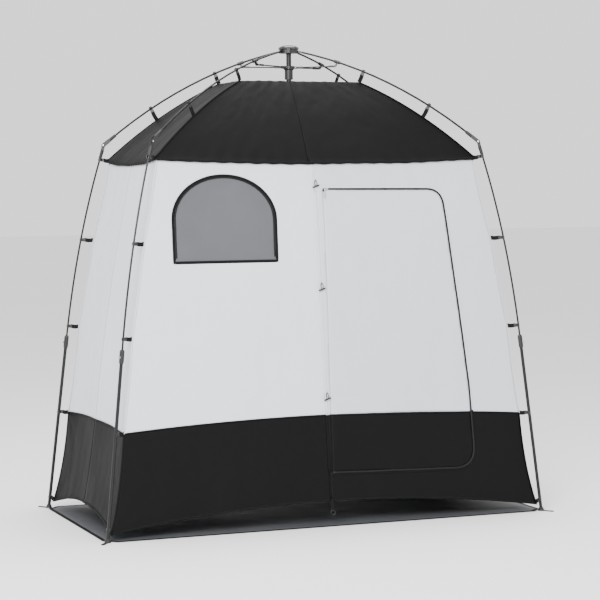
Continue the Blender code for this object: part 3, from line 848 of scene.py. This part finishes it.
class TENT_OT_bindings(bpy.types.Operator):
    """Sews the band seam, the hem's binding, the corner piping and the front's middle seam"""

    bl_idname = "tent.bindings"
    bl_label = "Seams and bindings"

    def execute(self, context):
        width = context.scene.tent_cloth.binding_width
        door = smooth_outline(DOOR_CORNERS)
        for facing in ("front", "rear", "left", "right"):
            for quarter, sign in halves(facing):
                lines = (
                    ("band_seam", band_z, 0.0, 0.006, 0.0012, skirt_taffeta(), "black_cloth"),
                    ("hem_binding", hem_z, 0.006, width, 0.0016, webbing(), "webbing"),
                )
                for kind, height, rise, wide, thick, used, slot in lines:
                    places = []
                    for k in range(61):
                        s = sign * k / 60
                        z = height(facing, s) + rise
                        middle = middle_share(facing, z)
                        s = middle + (sign - middle) * k / 60
                        places.append((s, height(facing, s) + rise))
                    if kind == "band_seam" and facing == "front" and sign > 0:
                        flat = np.array([((corner_radius(z) - scallop(z)) * COS * s, z) for s, z in places])
                        places = [p for p, shut in zip(places, inside(flat, door)) if not shut][1:]
                    path = [wall_point(facing, s, z, 0.0002) for s, z in places]
                    outs = [OUT[facing]] * len(path)
                    strip = band(f"{kind}_{facing}_{quarter}", path, outs, wide, thick, used)
                    fold_with_leg(strip, quarter)
        for quarter, (sx, sy) in QUARTERS.items():
            facing = "front" if sy < 0 else "rear"
            out = (sx * COS, sy * SIN, 0.1)
            for kind, low, high, used, slot in (
                ("upper", BAND, EAVE - 0.012, seam_tape(), "white_cloth"),
                ("lower", HEM, BAND, webbing(), "webbing"),
            ):
                heights = np.linspace(low, high, 44)
                path = [Vector(wall_point(facing, sx, z)) - Vector(out) * 0.0012 for z in heights]
                piping = band(f"corner_piping_{kind}_{quarter}", path, [out] * len(path), 0.010, 0.0032, used)
                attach(piping, f"upper_leg_{quarter}")
        for kind, low, high, used, slot in (
            ("above", 1.596, EAVE - 0.02, seam_tape(), "white_cloth"),
            ("below", 0.122, 0.236, skirt_taffeta(), "black_cloth"),
        ):
            path = seam_path(low, high, 0.0004)
            strip = band(f"middle_seam_{kind}", path, [OUT["front"]] * len(path), 0.007, 0.0012, used)
            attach(strip, "door_edge")
        return {"FINISHED"}


class TENT_OT_window(bpy.types.Operator):
    """Builds the arched netting window with its dark frame tape and zip"""

    bl_idname = "tent.window"
    bl_label = "Window"

    def execute(self, context):
        outline = window_outline()
        xs = np.arange(WINDOW_MIDDLE - WINDOW_HALF - 0.012, WINDOW_MIDDLE + WINDOW_HALF + 0.024, 0.010)
        zs = np.arange(WINDOW_SILL - 0.012, WINDOW_TOP + 0.024, 0.010)
        rows = [[(x, z) for x in xs] for z in zs]
        net = grid_piece(
            "window_netting", rows, lambda x, z: front_point(x, z, -0.0015), netting(), shape=outline
        )
        thicken(net, 0.0005)
        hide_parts("window_mesh")
        outline_area(outline)
        fold_with_leg(net, "front_left")
        path = [front_point(x, z, 0.0004) for x, z in outline]
        tape = band("window_tape", path, [OUT["front"]] * len(path), 0.013, 0.0014, webbing(), closed=True)
        fold_with_leg(tape, "front_left")
        middle = Vector((WINDOW_MIDDLE, (WINDOW_SILL + WINDOW_TOP) / 2))
        inner = [tuple(middle + (Vector(p) - middle) * 0.955) for p in outline]
        arch = [p for p in inner if p[1] > WINDOW_SILL + 0.02]
        path = [front_point(x, z, -0.0006) for x, z in arch]
        coil = band("window_zip", path, [OUT["front"]] * len(path), 0.006, 0.0030, zip_coil())
        fold_with_leg(coil, "front_left")
        return {"FINISHED"}


class TENT_OT_door(bpy.types.Operator):
    """Builds the door in its two cloths, with the zip round it, the slider and the tape that it swings on"""

    bl_idname = "tent.door"
    bl_label = "Door"

    def execute(self, context):
        cloth = context.scene.tent_cloth
        outline = smooth_outline(DOOR_CORNERS)
        xs = np.arange(DOOR_LEFT, 0.79, 0.011)
        low = lambda x: band_z("front", x / (corner_radius(0.5) * COS))
        for kind, bottom, top, used, slot in (
            # The door's cloth is the greyer copy too: painted shade.
            ("upper", low, lambda x: 1.61, wall_taffeta_painted_shade(), "white_cloth"),
            ("lower", lambda x: 0.215, low, skirt_taffeta(), "black_cloth"),
        ):
            count = int((top(0.4) - bottom(0.4)) / 0.011)
            rows = [[(x, bottom(x) + (top(x) - bottom(x)) * r / count) for x in xs] for r in range(count + 1)]
            piece = grid_piece(f"door_{kind}", rows, front_point, used, shape=outline)
            thicken(piece, cloth.thickness)
            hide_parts("door_panel")
            wide = max(x for x, _ in outline) - DOOR_LEFT
            seam = float(np.mean([low(x) for x in xs]))
            heights = [z for _, z in outline]
            ends = (seam, max(heights)) if kind == "upper" else (min(heights), seam)
            cut = (wide, ends[1] - ends[0], outline_area(outline, *ends))
            self.hang(piece)
        last = max(k for k, p in enumerate(outline) if abs(p[0] - DOOR_LEFT) < 1e-6 and p[1] > 1.58)
        around = outline[: last + 1]
        path = [front_point(x, z, 0.0006) for x, z in around]
        coil = band("door_zip", path, [OUT["front"]] * len(path), cloth.coil_width, 0.0034, zip_coil())
        self.hang(coil)
        middle = Vector((0.38, 0.9))
        grown = [tuple(Vector(p) + (Vector(p) - middle).normalized() * 0.009) for p in around]
        for kind, keep in (("upper", lambda z: z > BAND + 0.03), ("lower", lambda z: z <= BAND + 0.03)):
            runs, run = [], []
            for x, z in grown:
                if keep(z):
                    run.append((x, z))
                elif run:
                    runs.append(run)
                    run = []
            if run:
                runs.append(run)
            for number, run in enumerate(r for r in runs if len(r) > 3):
                path = [front_point(x, z, 0.0003) for x, z in run]
                used = seam_tape() if kind == "upper" else skirt_taffeta()
                tape = band(f"zip_tape_{kind}_{number}", path, [OUT["front"]] * len(path), 0.012, 0.0010, used)
                fold_with_leg(tape, "front_right")
        bm = bmesh.new()
        x, z = around[-3]
        top = Vector(front_point(x, z, 0.004))
        tube(bm, [top, top + Vector((0.022, -0.001, 0))], [0.0048, 0.0040], 10)
        pull = [top + Vector((0.004, -0.003, -0.002)), top + Vector((0.006, -0.004, -0.045))]
        tube(bm, pull, [0.0022, 0.0034], 10)
        slider = from_bmesh("door_zip_slider", bm, zinc_steel())
        self.hang(slider)
        for kind, start, end, used, slot in (
            ("upper", BAND + BAND_RISE, 1.585, seam_tape(), "white_cloth"),
            ("lower", 0.252, BAND + BAND_RISE, skirt_taffeta(), "black_cloth"),
        ):
            path = seam_path(start, end, 0.0008)
            outs = [OUT["front"]] * len(path)
            tape = band(f"door_tape_{kind}", path, outs, cloth.tape_width * 0.5, 0.0016, used)
            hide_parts("door_tape")
            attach(tape, "door_edge")
        return {"FINISHED"}

    def hang(self, piece):
        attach(piece, "door")
        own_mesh(piece)


class TENT_OT_toggles(bpy.types.Operator):
    """Adds the toggles that hold the rolled door, and the peg strap below the middle seam"""

    bl_idname = "tent.toggles"
    bl_label = "Toggles"

    def execute(self, context):
        for number, height in enumerate((1.637, 1.149, 0.629), 1):
            bm = bmesh.new()
            top = Vector(front_point(seam_x(height) + 0.004, height, 0.003))
            loop = [
                top,
                top + Vector((-0.006, -0.006, -0.012)),
                top + Vector((-0.004, -0.008, -0.026)),
                top + Vector((0.004, -0.008, -0.028)),
                top + Vector((0.007, -0.006, -0.014)),
                top + Vector((0.002, -0.001, 0.001)),
            ]
            tube(bm, loop, 0.0016, 8)
            low = top + Vector((0, -0.010, -0.030))
            ends = [low + Vector((d, 0, d * 0.35)) for d in (-0.017, -0.013, 0.0, 0.013, 0.017)]
            tube(bm, ends, [0.0024, 0.0042, 0.0036, 0.0042, 0.0024], 12)
            toggle = from_bmesh(f"door_toggle_{number}", bm, nylon())
            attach(toggle, "door_edge")
        start = Vector(front_point(0.0, 0.128, 0.002))
        path = [start + Vector((0, -0.002 - 0.012 * q, -0.055 * q)) for q in np.linspace(0, 1, 8)]
        strap = band("hem_peg_strap", path, [OUT["front"]] * len(path), 0.016, 0.0018, webbing())
        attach(strap, "door_edge")
        bm = bmesh.new()
        low = path[-1]
        turns = np.linspace(0, 2 * math.pi, 17)
        ring = [low + Vector((math.sin(a) * 0.012, -0.001, -0.010 + math.cos(a) * 0.012)) for a in turns]
        tube(bm, ring, 0.0018, 8)
        hook = from_bmesh("hem_peg_ring", bm, nylon())
        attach(hook, "door_edge")
        return {"FINISHED"}


class TENT_OT_roof(bpy.types.Operator):
    """Builds the black roof: slopes in halves that ride on their ribs, and a flat top round the mast"""

    bl_idname = "tent.roof"
    bl_label = "Roof"

    def execute(self, context):
        cloth = context.scene.tent_cloth
        for facing in ("front", "rear", "left", "right"):
            for quarter, sign in halves(facing):
                columns = 76 if facing in ("front", "rear") else 40
                rows = []
                for t in [-1.0, -0.5] + list(np.linspace(0, 1, 41)):
                    radius = ROOF_LINE[0][0] + (ROOF_LINE[-1][0] - ROOF_LINE[0][0]) * max(t, 0)
                    middle = -0.055 / (radius * COS) if facing == "front" else 0.0
                    rows.append([(middle + (sign - middle) * c / columns, t) for c in range(columns + 1)])
                slope = grid_piece(
                    f"{facing}_slope_by_{quarter}", rows, lambda s, t: roof_point(facing, s, t), skirt_taffeta()
                )
                thicken(slope, cloth.thickness)
                self.settle(slope, quarter, facing)
                path = [roof_point(facing, s, -0.75, 0.0) for s, _ in rows[0]]
                edge = band(
                    f"eave_binding_{facing}_{quarter}", path, [OUT[facing]] * len(path), 0.014, 0.0022, webbing()
                )
                fold_with_rib(edge, quarter)
        for quarter, (sx, sy) in QUARTERS.items():
            self.top(quarter, sx, sy, cloth.thickness)
            path = [at(quarter, ROOF_LINE[0][0] + (0.348 - 0.905) * t, 0) for t in np.linspace(0, 1, 24)]
            for point in path:
                point.z = float(np.polyval(ROOF_FIT, point.xy.length)) + 0.0015
            out = (sx * COS * 0.55, sy * SIN * 0.55, 0.8)
            hip = band(f"hip_seam_{quarter}", path, [out] * len(path), 0.012, 0.0024, webbing())
            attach(hip, f"rib_{quarter}")
        path = [roof_point("front", -0.055 / (r * COS), t, 0.0006) for t, r in self.seam_steps()]
        seam = band("roof_middle_seam", path, [(0, -0.6, 0.8)] * len(path), 0.007, 0.0014, webbing())
        fold_with_rib(seam, "front_left")
        return {"FINISHED"}

    def seam_steps(self):
        for t in np.linspace(0, 1, 24):
            yield t, ROOF_LINE[0][0] + (ROOF_LINE[-1][0] - ROOF_LINE[0][0]) * t

    def settle(self, piece, quarter, facing):
        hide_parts("roof_cover")
        fold_with_rib(piece, quarter)

    def top(self, quarter, sx, sy, thickness):
        wide, deep = ROOF_LINE[-1][0] * COS, ROOF_LINE[-1][0] * SIN
        rim = float(np.polyval(ROOF_FIT, ROOF_LINE[-1][0])) + 0.002
        rows = []
        for k in np.linspace(0, 1, 19):
            row = []
            for angle in np.linspace(0, math.pi / 2, 33):
                c, s = math.cos(angle), math.sin(angle)
                edge = min(wide / max(c, 1e-6), deep / max(s, 1e-6))
                reach = ROOF_HOLE + (edge - ROOF_HOLE) * k
                row.append((sx * c * reach, sy * s * reach))
            rows.append(row)

        def lie(x, y):
            out = max(abs(x) / wide, abs(y) / deep)
            sag = -0.004 * math.sin(math.pi * min(1, out)) + 0.0018 * ruck(x, y, 0.0, 16.0, 71.0) * (1 - out**8)
            return (x, y, rim + sag)

        sheet = grid_piece(f"roof_top_{quarter}", rows, lie, skirt_taffeta())
        thicken(sheet, thickness)
        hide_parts("roof_cover")
        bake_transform(sheet)


class TENT_OT_straps(bpy.types.Operator):
    """Clips the cloth's corners to the ribs and legs with short webbing straps"""

    bl_idname = "tent.straps"
    bl_label = "Straps and clips"

    def execute(self, context):
        leg_straps = (
            ("elbow", (0.9485, 1.748), (0.907, 1.744), 0.0088),
            ("upper", (1.0510, 1.350), (corner_radius(1.350), 1.350), POLE_RADIUS),
            ("middle", (1.1235, 0.918), (corner_radius(0.920), 0.918), POLE_RADIUS),
            ("band", (1.1755, 0.487), (corner_radius(0.487), 0.487), 0.0080),
            ("foot", (1.2270, 0.058), (corner_radius(0.052), 0.046), 0.0080),
        )
        rib_straps = (
            ("rib_low", (0.692, 2.004), (0.661, 1.947), 0.0048),
            ("rib_high", (0.370, 2.172), (0.348, 2.121), 0.0048),
        )
        for quarter in QUARTERS:
            for name, rod, cloth, radius in leg_straps:
                strap = self.strap(context, f"strap_{name}_{quarter}", quarter, rod, cloth, radius)
                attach(strap, f"upper_leg_{quarter}")
                if name != "elbow":
                    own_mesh(strap)
            for name, rod, cloth, radius in rib_straps:
                strap = self.strap(context, f"strap_{name}_{quarter}", quarter, rod, cloth, radius)
                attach(strap, f"rib_{quarter}")
        return {"FINISHED"}

    def strap(self, context, name, quarter, rod, cloth, radius):
        """A C-shaped clip round the rod, with its tongue, and the webbing that joins it to the cloth."""
        sizes = context.scene.tent_straps
        sx, sy = QUARTERS[quarter]
        centre, end = at(quarter, *rod), at(quarter, *cloth)
        towards = (end - centre).normalized()
        side = Vector((-sy * SIN, sx * COS, 0.0)).normalized()
        along = towards.cross(side).normalized()
        inner, half = radius + 0.0006, sizes.clip_height / 2
        outer = inner + sizes.clip_wall
        bm = bmesh.new()
        rings = []
        for angle in np.radians(np.linspace(48, 312, 23)):
            way = -towards * math.cos(angle) + side * math.sin(angle)
            lift = half * (0.75 + 0.25 * min(1, (min(angle, 2 * math.pi - angle) - 0.8) / 0.7))
            corners = ((inner, -lift), (outer, -lift * 0.9), (outer, lift * 0.9), (inner, lift))
            rings.append([bm.verts.new(centre + way * r + along * h) for r, h in corners])
        self.skin(bm, rings)
        start = centre + towards * (inner + sizes.clip_wall * 0.4)
        reach = max(0.012, (end - centre).length - inner)
        tongue = []
        for share, wide in ((0.0, half), (0.16, half * 1.1), (0.30, half * 1.1), (0.34, half * 0.9)):
            spot = start + towards * (reach * share)
            tongue.append(
                [
                    bm.verts.new(spot + side * a + along * b)
                    for a, b in ((-0.0016, -wide), (0.0016, -wide), (0.0016, wide), (-0.0016, wide))
                ]
            )
        self.skin(bm, tongue)
        plastic = len(bm.faces)
        wide = sizes.width / 2
        strip = []
        for share in np.linspace(0.24, 1.06, 8):
            slack = 0.003 * math.sin(math.pi * min(1, max(0, (share - 0.24) / 0.8)))
            spot = start + towards * (reach * share) + side * slack - Vector((0, 0, slack))
            strip.append(
                [
                    bm.verts.new(spot + side * a + along * b)
                    for a, b in ((-0.0009, -wide), (0.0009, -wide), (0.0009, wide), (-0.0009, wide))
                ]
            )
        self.skin(bm, strip)
        bm.faces.ensure_lookup_table()
        for face in bm.faces[plastic:]:
            face.material_index = 1
        piece = from_bmesh(name, bm, nylon())
        piece.data.materials.append(webbing())
        return piece

    def skin(self, bm, rings):
        count = len(rings[0])
        for lower, upper in zip(rings, rings[1:]):
            for k in range(count):
                bm.faces.new((lower[k], lower[(k + 1) % count], upper[(k + 1) % count], upper[k]))
        bm.faces.new(rings[0][::-1])
        bm.faces.new(rings[-1])


class TENT_OT_ground_sheet(bpy.types.Operator):
    """Lays the loose woven floor sheet with its bound edge"""

    bl_idname = "tent.ground_sheet"
    bl_label = "Ground sheet"

    def execute(self, context):
        half_x, half_y, cut = GROUND_SHEET
        outline = []
        for sx, sy in ((-1, -1), (1, -1), (1, 1), (-1, 1)):
            near = [(sx * (half_x - cut), sy * half_y), (sx * half_x, sy * (half_y - cut))]
            outline += near if sx * sy < 0 else near[::-1]
        dense = []
        for first, second in zip(outline, outline[1:] + outline[:1]):
            steps = max(1, int(math.dist(first, second) / 0.015))
            dense += [tuple(Vector(first).lerp(Vector(second), q / steps)) for q in range(steps)]

        def lie(x, y, lift=0.0):
            edge = min(1.0, max(0.0, min(half_x - abs(x), half_y - abs(y)) / 0.05))
            crease = max(0.0, ruck(x, y, 0.0, 3.2, 5.0)) * 0.009 + max(0.0, ruck(x, y, 3.0, 10.0, 9.0)) * 0.003
            return (x, y, 0.0010 + crease * edge + lift)

        xs, ys = np.linspace(-half_x, half_x, 150), np.linspace(-half_y, half_y, 76)
        rows = [[(x, y) for x in xs] for y in ys]
        sheet = grid_piece("ground_sheet_cloth", rows, lie, ground_cloth(), shape=dense)
        thicken(sheet, 0.0008)
        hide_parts("ground_sheet")
        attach(sheet, "tent")
        inner = [(x * (1 - 0.010 / half_x), y * (1 - 0.010 / half_y)) for x, y in dense]
        path = [lie(x, y, 0.0009) for x, y in inner]
        ups = [(0, 0, 1)] * len(path)
        edge = band("ground_sheet_binding", path, ups, 0.018, 0.0012, webbing(), closed=True)
        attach(edge, "tent")
        return {"FINISHED"}


class TENT_OT_stage(bpy.types.Operator):
    """Sets the pale floor, the soft lights and the camera"""

    bl_idname = "tent.stage"
    bl_label = "Stage"

    def execute(self, context):
        studio = context.scene.tent_studio
        floor = new_piece(
            "studio_floor",
            [(-40, -40, 0), (40, -40, 0), (40, 60, 0), (-40, 60, 0)],
            [(0, 1, 2, 3)],
            finish("Painted studio floor", "#F4F4F4", "#EFEFEF", 4000, 0.75, "grain", 8.0, 0.02),
        )
        floor.location.z = -0.0004
        lights = (
            ("key_softbox", studio.key_power, 3.2, (-4.6, -6.4, 4.6)),
            ("fill_softbox", studio.fill_power, 3.5, (5.5, -5.5, 3.0)),
            ("top_softbox", studio.top_power, 3.0, (0.5, 0.5, 6.0)),
        )
        for name, power, size, place in lights:
            lamp = bpy.data.lights.new(name, "AREA")
            lamp.energy, lamp.size = power, size
            holder = bpy.data.objects.new(name, lamp)
            holder.location = place
            aim = Vector((0, 0, 1.1)) - Vector(place)
            holder.rotation_euler = aim.to_track_quat("-Z", "Y").to_euler()
            context.scene.collection.objects.link(holder)
        world = bpy.data.worlds.new("studio_surround")
        world.use_nodes = True
        sky = world.node_tree.nodes["Background"]
        sky.inputs["Color"].default_value = (1, 1, 1, 1)
        sky.inputs["Strength"].default_value = studio.sky
        context.scene.world = world
        self.camera(context)
        return {"FINISHED"}

    def camera(self, context):
        yaw, pitch, roll = 0.3706, -0.0558, -0.0081
        forward = Vector((math.sin(yaw) * math.cos(pitch), math.cos(yaw) * math.cos(pitch), math.sin(pitch)))
        level = Vector((math.cos(yaw), -math.sin(yaw), 0.0))
        upright = level.cross(forward)
        right = level * math.cos(roll) + upright * math.sin(roll)
        up = upright * math.cos(roll) - level * math.sin(roll)
        lens = bpy.data.cameras.new("view_camera")
        lens.lens = 119.1
        lens.clip_end = 200
        eye = bpy.data.objects.new("view_camera", lens)
        turn = Matrix((right, up, -forward)).transposed().to_4x4()
        eye.matrix_world = Matrix.Translation((-3.519, -9.1844, 1.5942)) @ turn
        context.scene.collection.objects.link(eye)
        context.scene.camera = eye


class TENT_PT_panel(bpy.types.Panel):
    """Lists the tent's pieces and settings"""

    bl_idname = "TENT_PT_panel"
    bl_label = "Privacy shower tent"
    bl_space_type = "VIEW_3D"
    bl_region_type = "UI"
    bl_category = "Tent"

    def draw(self, context):
        for group in ("tent_cloth", "tent_straps", "tent_studio"):
            held = getattr(context.scene, group)
            for name in held.__annotations__:
                self.layout.prop(held, name)
        for step in STEPS:
            self.layout.operator(step.bl_idname)


GROUPS = {"tent_cloth": TentCloth, "tent_straps": TentStraps, "tent_studio": TentStudio}
STEPS = (
    TENT_OT_stage,
    TENT_OT_frame_finish,
    TENT_OT_upper_poles,
    TENT_OT_pins,
    TENT_OT_walls,
    TENT_OT_bindings,
    TENT_OT_window,
    TENT_OT_door,
    TENT_OT_toggles,
    TENT_OT_roof,
    TENT_OT_straps,
    TENT_OT_ground_sheet,
)


def register():
    for made in (*GROUPS.values(), *STEPS, TENT_PT_panel):
        bpy.utils.register_class(made)
    for name, group in GROUPS.items():
        setattr(bpy.types.Scene, name, bpy.props.PointerProperty(type=group))


def unregister():
    for name in GROUPS:
        delattr(bpy.types.Scene, name)
    for made in reversed((*GROUPS.values(), *STEPS, TENT_PT_panel)):
        bpy.utils.unregister_class(made)


def main():
    register()
    for step in STEPS:
        group, name = step.bl_idname.split(".")
        getattr(getattr(bpy.ops, group), name)()


if __name__ == "__main__":
    main()
